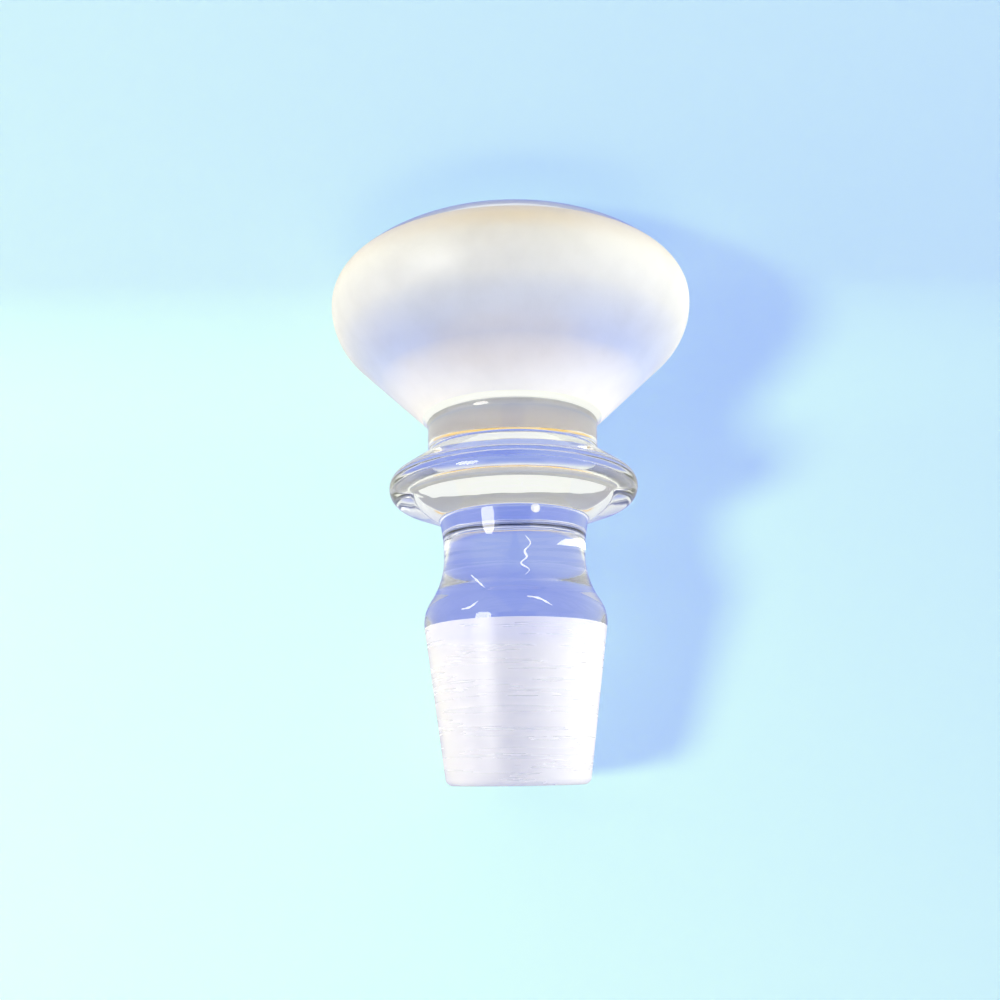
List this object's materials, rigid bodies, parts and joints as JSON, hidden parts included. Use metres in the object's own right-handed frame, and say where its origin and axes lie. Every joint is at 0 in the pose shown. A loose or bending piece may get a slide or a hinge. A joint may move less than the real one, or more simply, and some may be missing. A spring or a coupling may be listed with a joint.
{
  "type": "glass stopper",
  "caption": "Solid glass stopper: wide frosted knob with a polished crown, a clear collared neck and a ground tapered plug.",
  "frame": {"origin": "centre of the knob's flat top, which the stopper stands on", "axes": "+Z along the stopper's axis, from the knob to the end of the plug"},
  "size_m": [0.0406, 0.0406, 0.0601],
  "materials": {
    "glass": "frosted knob, clear polished crown, neck and collar, ground plug"
  },
  "bodies": {
    "root": {"stopper": "glass"}
  },
  "joints": []
}
